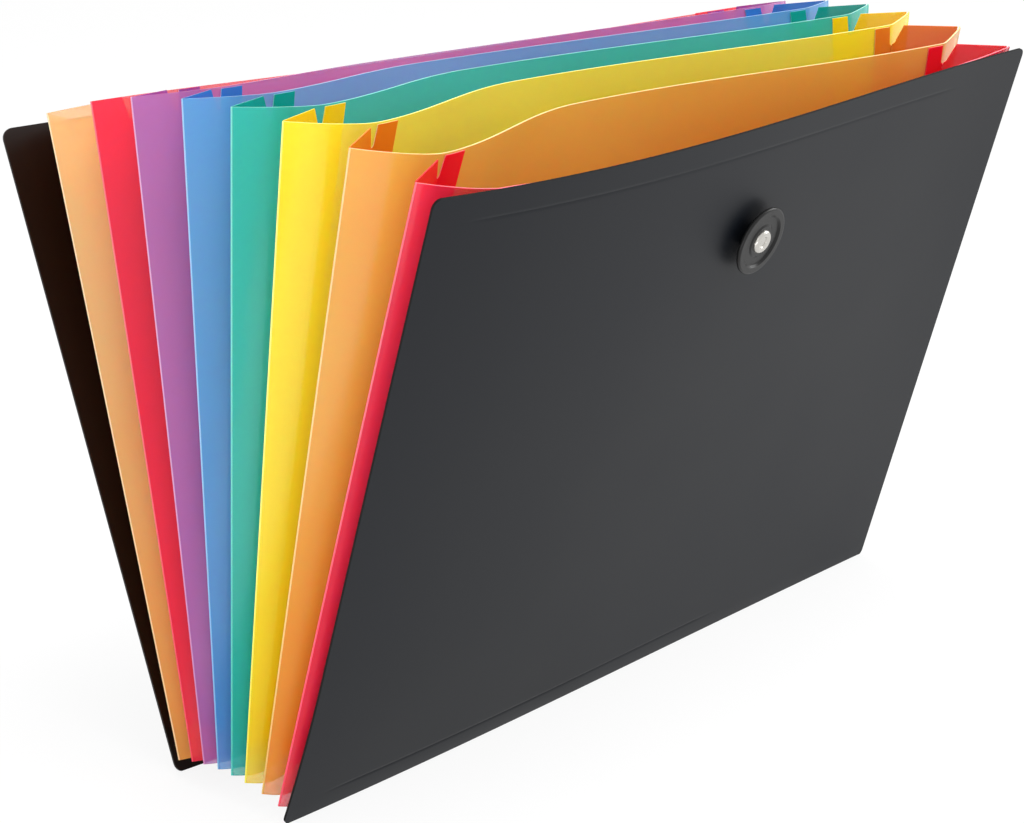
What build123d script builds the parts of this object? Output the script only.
from build123d import *
import os
from math import atan2, degrees, radians, sin, sqrt, tan

# An open accordion file: eight coloured sheets fanned between two black covers.
# X runs along the width, the front is -Y and Z is up.

# Covers
cover_width = 330.0
cover_height = 230.0
cover_thickness = 0.9
cover_corner_radius = 4.0
cover_drop = 5.5
cover_left_lead = 11.3
cover_right_lead = 3.5
cover_standoff = 1.6
front_cover_bow = 7.5
cover_bow_shares = (0.125, 0.375, 0.625, 0.85)
corner_turns = (0, 30, 60, 90)
cover_gap = 0.8
floor_trim = 0.5

# Coloured sheets
sheet_overhang = 1.5
sheet_taper = 6.0
sheet_top_drop = 0.5
sheet_thickness = 0.5

# Bow of each sheet where the next sheet's flap pulls it forward, measured at the top edge
left_crest_inset = 22.0
right_crest_inset = 26.0
left_crest_height = 15.5
right_crest_height = 10.8
left_bow_reach = 100.0
bow_flat = 6.0
rise_bulge_share = 0.5
ridge_shares = (0.0, 0.2, 0.4, 0.6, 0.8, 1.0)
front_span_shares = (0.6, 0.375, 0.125)

# Fan: the sheets turn about one line below the file, deeper on the left than on the right
fan_left_depth = 90.0
fan_right_depth = 30.0
pocket_angles = (4.8, 5.3, 4.4, 5.1, 4.6, 4.5, 5.5, 5.2)
sheets_behind_upright = 4

# Side gussets, their weld flaps and the pocket floors
gusset_thickness = 0.4
gusset_start = 12.0
fold_setback = 0.75
fold_hem = 0.5
weld_clearance = 0.5
notch_radius = 1.5
notch_depth = 7.5
notch_flare = 4.5
flap_width = 9.0
flap_thickness = 0.35
flap_gap = 2.0
flap_top_drop = 1.0
floor_thickness = 0.4
floor_lift = 0.5
floor_rise = 6.0
floor_end_gap = 2.0

# Closure button on the front cover
button_drop = 43.0
disc_radius = 12.5
disc_thickness = 1.6
disc_rim_width = 2.6
disc_dish_depth = 0.7
disc_seat_radius = 5.6
spacer_radius = 4.6
spacer_height = 3.4
rivet_radius = 2.5
rivet_clearance = 0.1
rivet_head_radius = 4.3
rivet_head_height = 1.3
rivet_dimple_radius = 1.7
rivet_dimple_depth = 0.6
washer_radius = 5.5
washer_thickness = 0.6
rivet_tail_radius = 3.8
rivet_tail_height = 0.5
button_seat_gap = 0.05
button_room = 2.2
cut_overrun = 5.0

half_cover = cover_width / 2
half_bottom = half_cover + sheet_overhang
half_top = half_bottom - sheet_taper
right_bow_reach = half_top * 2 - left_bow_reach - bow_flat
sheet_height = cover_height - cover_drop - sheet_top_drop
half_sheet = sheet_thickness / 2
half_cover_wall = cover_thickness / 2
sheet_lead_angles = [sum(pocket_angles[:pocket]) for pocket in range(len(pocket_angles) + 1)]
upright_angle = sheet_lead_angles[sheets_behind_upright]
lean_angles = [angle - upright_angle for angle in sheet_lead_angles]

# The line that every sheet turns about
fan_depth = (fan_left_depth + fan_right_depth) / 2
fan_slope = degrees(atan2(fan_left_depth - fan_right_depth, cover_width))
fan_axis = Location((0, 0, -fan_depth), (0, -fan_slope, 0))


def fanned(angle):
    """Place of a sheet that leans forward by an angle about the fan's line."""
    return fan_axis * Location((0, 0, 0), (angle, 0, 0)) * fan_axis.inverse()


def fold_across(side, up):
    """How far across the outer fold stands at a height above the sheet's bottom edge."""
    return side * (half_bottom - (half_bottom - half_top) * up / sheet_height)


def spread(side, up):
    """Share of the top's opening that a pocket has at a height, at one end of the file."""
    slope = side * tan(radians(fan_slope))
    narrowing = (half_bottom - half_top) / sheet_height
    apex = (slope * half_bottom - fan_depth) / (1 + slope * narrowing)
    return (up - apex) / (sheet_height - apex)


def middle_spread(up):
    """Share of the top's opening that a pocket has at a height, halfway along the file."""
    return (up + fan_depth) / (sheet_height + fan_depth)


def on_sheet(place, across, forward, up):
    """Point on a leaned sheet: across it, forward of its plane and up from its bottom edge."""
    return place.from_local_coords(Vector(across, -forward, up))


def cover_forward(across, up):
    """How far the front cover's middle stands ahead of the last sheet's plane."""
    share = middle_spread(up) + (spread(-1, up) - spread(1, up)) * -across / cover_width
    along = across / cover_width + 1 / 2
    lead = cover_left_lead + (cover_right_lead - cover_left_lead) * along
    bow = front_cover_bow * along * (1 - along) ** 2 * 27 / 4
    return cover_standoff + (lead - cover_standoff + bow) * share


# The floor passes through the bottom edges of both covers
cover_ends = [-half_cover, half_cover]
back_leaned = Plane(fanned(lean_angles[0]))
front_leaned = Plane(fanned(lean_angles[-1]))
back_feet = [on_sheet(back_leaned, end, half_cover_wall, -cover_drop) for end in cover_ends]
front_feet = [
    on_sheet(front_leaned, end, cover_forward(end, -cover_drop) - half_cover_wall, -cover_drop)
    for end in cover_ends
]
floor_across = back_feet[1] + front_feet[1] - back_feet[0] - front_feet[0]
floor_back = back_feet[0] + back_feet[1] - front_feet[0] - front_feet[1]
floor_centre = sum(back_feet + front_feet, Vector()) / len(back_feet + front_feet)
floor_normal = floor_across.cross(floor_back)
floor_plane = Plane(floor_centre, x_dir=floor_across, z_dir=floor_normal).offset(floor_trim)
sheet_places = [Plane(floor_plane.location.inverse() * fanned(angle)) for angle in lean_angles]

sheet_names = (
    "orange_rear",
    "red_rear",
    "purple",
    "blue",
    "teal",
    "yellow",
    "orange_front",
    "red_front",
)
sides = {"left": -1, "right": 1}
crest_heights = {-1: left_crest_height, 1: right_crest_height}
crest_insets = {-1: left_crest_inset, 1: right_crest_inset}
bow_reaches = {-1: left_bow_reach, 1: right_bow_reach}
pieces = {}


def front_plane(place):
    """Plane of a sheet seen from the front, with its own X across and Y up."""
    return Plane(origin=place.origin, x_dir=place.x_dir, z_dir=-place.y_dir)


def ridge_rise(share):
    """Height share of a ridge on its way up from the fold to the crest."""
    return share * (1 + rise_bulge_share * (1 - share))


def ridge_fall(share):
    """Height share of a ridge on its way down from the crest to the flat of the sheet."""
    return 1 - share**2 * (3 - 2 * share)


def ridge_points(side, up, crest):
    """Half section of a ridge from the fold to its crest, as across and forward."""
    fold = fold_across(side, up)
    inset = side * crest_insets[side] * spread(side, up)
    return [(fold - inset * share, crest * ridge_rise(share)) for share in ridge_shares]


def bowed_points(up):
    """Section of a bowed sheet from the left fold to the right fold, as across and forward."""
    points = []
    for side in (-1, 1):
        opening = spread(side, up)
        crest = crest_heights[side] * opening
        end = ridge_points(side, up, crest)
        fall = side * (bow_reaches[side] - crest_insets[side]) * opening
        crest_across = end[-1][0]
        for share in ridge_shares[1:]:
            end.append((crest_across - fall * share, crest * ridge_fall(share)))
        points += end if side < 0 else end[::-1]
    return points


def front_points(up):
    """Section of the last sheet, which follows the back of the front cover between its ridges."""
    wall = half_cover_wall + half_sheet
    points = []
    for side in (-1, 1):
        ridge = fold_across(side, up) - side * crest_insets[side] * spread(side, up)
        end = ridge_points(side, up, cover_forward(ridge, up) - wall - cover_gap)
        for share in front_span_shares:
            across = side * half_cover * share
            last = share == front_span_shares[-1]
            room = button_room * middle_spread(up) if last else cover_gap
            end.append((across, cover_forward(across, up) - wall - room))
        points += end if side < 0 else end[::-1]
    return points


def film_sheet(place, section):
    """One coloured sheet: a thin wall along a section that changes from bottom to top."""
    with BuildPart() as sheet:
        for up in (0, sheet_height):
            points = section(up)
            front = [(across, -forward - half_sheet) for across, forward in points]
            back = [(across, -forward + half_sheet) for across, forward in points]
            with BuildSketch(place.offset(up)):
                with BuildLine():
                    Polyline(*front, *back[::-1], close=True)
                make_face()
        loft(ruled=True)
    return sheet.part


def opening_at(fold_place, weld_place, across, up):
    """Distance between a sheet and the one behind it, at the same place on both."""
    return (on_sheet(fold_place, across, 0, up) - on_sheet(weld_place, across, 0, up)).length


def side_gusset(fold_place, weld_place, side, weld_wall, weld_crest):
    """Flat side panel from one sheet's outer fold back to the ridge on the sheet behind it."""
    weld_standoff = weld_wall + weld_clearance + gusset_thickness / 2
    top_opening = opening_at(fold_place, weld_place, fold_across(side, sheet_height), sheet_height)
    taken = fold_setback + weld_standoff

    def fold_point(up):
        return on_sheet(fold_place, fold_across(side, up), -fold_setback, up)

    def weld_point(up):
        share = (top_opening * spread(side, up) - taken) / (top_opening - taken)
        across = fold_across(side, up) - side * crest_insets[side] * share
        return on_sheet(weld_place, across, weld_crest * share + weld_standoff, up)

    along = fold_point(sheet_height) - fold_point(gusset_start)
    reach = weld_point(sheet_height) - fold_point(gusset_start)
    plane = Plane(origin=fold_point(gusset_start), x_dir=along, z_dir=along.cross(reach))
    inner_low = plane.to_local_coords(weld_point(gusset_start))
    inner_high = plane.to_local_coords(weld_point(sheet_height))
    inner_edge = (inner_low - inner_high).normalized()
    notch_end = inner_high + inner_edge * (notch_depth - notch_radius)
    notch_side = notch_end + Vector(-inner_edge.Y, inner_edge.X, 0) * notch_radius
    top_edge = Vector(along.length, fold_hem, 0) - inner_high
    notch_tip = inner_high + top_edge.normalized() * notch_flare
    with BuildPart() as gusset:
        with BuildSketch(plane):
            with BuildLine():
                Polyline(
                    (0, fold_hem),
                    (along.length, fold_hem),
                    (inner_high.X, inner_high.Y),
                    (inner_low.X, inner_low.Y),
                    close=True,
                )
            make_face()
            with BuildLine():
                Polyline(
                    (inner_high.X, inner_high.Y),
                    (notch_tip.X, notch_tip.Y),
                    (notch_side.X, notch_side.Y),
                    (notch_end.X, notch_end.Y),
                    close=True,
                )
            make_face(mode=Mode.SUBTRACT)
            with Locations((notch_end.X, notch_end.Y)):
                Circle(notch_radius, mode=Mode.SUBTRACT)
        extrude(amount=gusset_thickness / 2, both=True)
    return gusset.part


def weld_flaps(place, wall, bowed):
    """The two narrow flaps that are welded to the front of a sheet beside its ridges."""
    with BuildPart() as flaps:
        for side in sides.values():
            for up in (gusset_start, sheet_height - flap_top_drop):
                share = spread(side, up)
                fold = fold_across(side, up)
                outer = wall + flap_thickness
                start = crest_insets[side] + flap_gap
                end = start + flap_width
                first_fall = (bow_reaches[side] - crest_insets[side]) * ridge_shares[1]
                drop = (1 - ridge_fall(ridge_shares[1])) / first_fall
                corners = []
                for inset, face in ((start, wall), (end, wall), (end, outer), (start, outer)):
                    past = inset - crest_insets[side]
                    bow = crest_heights[side] * (1 - drop * past) if bowed else 0
                    corners.append((fold - side * inset * share, -bow * share - face))
                with BuildSketch(place.offset(up)):
                    with BuildLine():
                        Polyline(*corners, close=True)
                    make_face()
            loft(ruled=True)
    return flaps.part


def pocket_floor(fold_place, weld_place, weld_wall):
    """Narrow strip from one sheet's bottom fold back and up to the sheet behind it."""
    weld_standoff = weld_wall + weld_clearance + floor_thickness / 2
    taken = fold_setback + weld_standoff
    ends = []
    for side in (-1, 1):
        bow = bow_reaches[side] * spread(side, floor_rise)
        ends.append(fold_across(side, floor_rise) - side * (bow + floor_end_gap))

    def fold_point(across):
        return on_sheet(fold_place, across, -fold_setback, floor_lift)

    def weld_point(across):
        room, left_room = (
            opening_at(fold_place, weld_place, end, floor_lift) - taken for end in (across, ends[0])
        )
        rise = floor_rise * room / left_room
        return on_sheet(weld_place, across, weld_standoff, floor_lift + rise)

    along = fold_point(ends[1]) - fold_point(ends[0])
    reach = weld_point(ends[0]) - fold_point(ends[0])
    plane = Plane(origin=fold_point(ends[0]), x_dir=along, z_dir=along.cross(reach))
    inner = [plane.to_local_coords(weld_point(end)) for end in ends]
    with BuildPart() as floor:
        with BuildSketch(plane):
            with BuildLine():
                Polyline(
                    (0, fold_hem),
                    (along.length, fold_hem),
                    (inner[1].X, inner[1].Y),
                    (inner[0].X, inner[0].Y),
                    close=True,
                )
            make_face()
        extrude(amount=floor_thickness / 2, both=True)
    return floor.part


# Front cover: bowed forward along its top edge, trimmed level where it stands on the floor
front_place = sheet_places[-1]
cover_middle = cover_height / 2 - cover_drop
button_up = cover_height - cover_drop - button_drop
button_flat = half_cover * cover_bow_shares[0]
flat_ends = [
    on_sheet(front_place, across, cover_forward(across, button_up), button_up)
    for across in (-button_flat, button_flat)
]
flat_tops = [
    on_sheet(front_place, across, cover_forward(across, cover_height), cover_height)
    for across in (-button_flat, button_flat)
]
flat_across = flat_ends[1] - flat_ends[0]
flat_up = flat_tops[0] + flat_tops[1] - flat_ends[0] - flat_ends[1]
button_seat = (flat_ends[0] + flat_ends[1]) / 2
button_plane = Plane(button_seat, x_dir=flat_across, z_dir=flat_across.cross(flat_up))
button_plane = button_plane.offset(half_cover_wall + button_seat_gap)

cover_edges = [half_cover - cover_corner_radius * (1 - sin(radians(turn))) for turn in corner_turns]
cover_stations = [share * half_cover for share in cover_bow_shares] + cover_edges
cover_side = Plane(origin=front_place.origin, x_dir=front_place.y_dir, z_dir=front_place.x_dir)
with BuildPart() as front_cover:
    for across in sorted({side * station for side in (-1, 1) for station in cover_stations}):
        inset = max(0, abs(across) - half_cover + cover_corner_radius)
        rounding = cover_corner_radius - sqrt(cover_corner_radius**2 - inset**2)
        low = rounding - cover_drop
        high = cover_height - cover_drop - rounding
        with BuildSketch(cover_side.offset(across)):
            with BuildLine():
                Polyline(
                    (-cover_forward(across, low) - half_cover_wall, low),
                    (-cover_forward(across, high) - half_cover_wall, high),
                    (-cover_forward(across, high) + half_cover_wall, high),
                    (-cover_forward(across, low) + half_cover_wall, low),
                    close=True,
                )
            make_face()
    loft(ruled=True)
    with BuildSketch(button_plane):
        Circle(rivet_radius + rivet_clearance)
    extrude(amount=cut_overrun, both=True, mode=Mode.SUBTRACT)
    split(bisect_by=Plane.XY, keep=Keep.TOP)
pieces["front_cover"] = front_cover.part

# Back cover: flat, trimmed level in the same way
with BuildPart() as back_cover:
    with BuildSketch(front_plane(sheet_places[0])):
        with Locations((0, cover_middle)):
            RectangleRounded(cover_width, cover_height, cover_corner_radius)
    extrude(amount=half_cover_wall, both=True)
    split(bisect_by=Plane.XY, keep=Keep.TOP)
pieces["back_cover"] = back_cover.part

# Each pocket: its sheet, two side gussets, the flaps welded to the sheet behind and its floor
for pocket, name in enumerate(sheet_names):
    behind = sheet_places[pocket]
    place = sheet_places[pocket + 1]
    behind_wall = half_sheet if pocket else half_cover_wall
    section = front_points if pocket + 1 == len(sheet_names) else bowed_points
    pieces[f"{name}_sheet"] = film_sheet(place, section)
    for side_name, side in sides.items():
        behind_crest = crest_heights[side] if pocket else 0
        gusset = side_gusset(place, behind, side, behind_wall, behind_crest)
        pieces[f"{name}_{side_name}_gusset"] = gusset
    pieces[f"{name}_weld_flaps"] = weld_flaps(behind, behind_wall, bool(pocket))
    pieces[f"{name}_floor"] = pocket_floor(place, behind, behind_wall)

# Closure button: a dished disc on a spacer, held to the front cover by a rivet over a washer
button_section = Plane(button_plane.origin, x_dir=button_plane.x_dir, z_dir=-button_plane.y_dir)
button_axis = Axis(button_plane.origin, button_plane.z_dir)
bore_radius = rivet_radius + rivet_clearance
disc_top = spacer_height + disc_thickness
seat_top = disc_top - disc_dish_depth
washer_front = -cover_thickness - rivet_clearance - button_seat_gap
washer_back = washer_front - washer_thickness

with BuildPart() as button_disc:
    with BuildSketch(button_section):
        with BuildLine():
            Polyline(
                (bore_radius, spacer_height),
                (disc_radius - disc_thickness / 2, spacer_height),
            )
            RadiusArc(
                (disc_radius - disc_thickness / 2, spacer_height),
                (disc_radius - disc_thickness / 2, disc_top),
                -disc_thickness / 2,
            )
            Polyline(
                (disc_radius - disc_thickness / 2, disc_top),
                (disc_radius - disc_rim_width, disc_top),
                (disc_radius - disc_rim_width - disc_dish_depth, seat_top),
                (disc_seat_radius + disc_dish_depth, seat_top),
                (disc_seat_radius, disc_top - disc_dish_depth / 2),
                (bore_radius, disc_top - disc_dish_depth / 2),
                (bore_radius, spacer_height),
            )
        make_face()
    revolve(axis=button_axis)
pieces["button_disc"] = button_disc.part

with BuildPart() as button_spacer:
    with BuildSketch(button_plane):
        Circle(spacer_radius)
        Circle(bore_radius, mode=Mode.SUBTRACT)
    extrude(amount=spacer_height)
pieces["button_spacer"] = button_spacer.part

with BuildPart() as button_rivet:
    with BuildSketch(button_section):
        head_seat = disc_top - disc_dish_depth / 2
        with BuildLine():
            Polyline(
                (0, washer_back - rivet_tail_height),
                (rivet_tail_radius, washer_back - rivet_tail_height),
                (rivet_tail_radius, washer_back),
                (rivet_radius, washer_back),
                (rivet_radius, head_seat),
                (rivet_head_radius, head_seat),
            )
            ThreePointArc(
                (rivet_head_radius, head_seat),
                ((rivet_head_radius + rivet_dimple_radius) / 2, head_seat + rivet_head_height),
                (rivet_dimple_radius, head_seat + rivet_dimple_depth),
            )
            Polyline(
                (rivet_dimple_radius, head_seat + rivet_dimple_depth),
                (0, head_seat + rivet_dimple_depth),
                (0, washer_back - rivet_tail_height),
            )
        make_face()
    revolve(axis=button_axis)
pieces["button_rivet"] = button_rivet.part

with BuildPart() as button_washer:
    with BuildSketch(button_plane.offset(washer_front)):
        Circle(washer_radius)
        Circle(bore_radius, mode=Mode.SUBTRACT)
    extrude(amount=-washer_thickness)
pieces["button_washer"] = button_washer.part

# The file stands centred on the origin
footprint = Compound(list(pieces.values())).bounding_box()
stand = Location((-footprint.center().X, -footprint.center().Y, 0))

os.makedirs("parts", exist_ok=True)
for name, piece in pieces.items():
    placed = piece.moved(stand)
    placed.label = name
    export_step(placed, f"parts/{name}.step")
size = footprint.size
print(f"{len(pieces)} pieces, {size.X:.1f} x {size.Y:.1f} x {size.Z:.1f} mm")
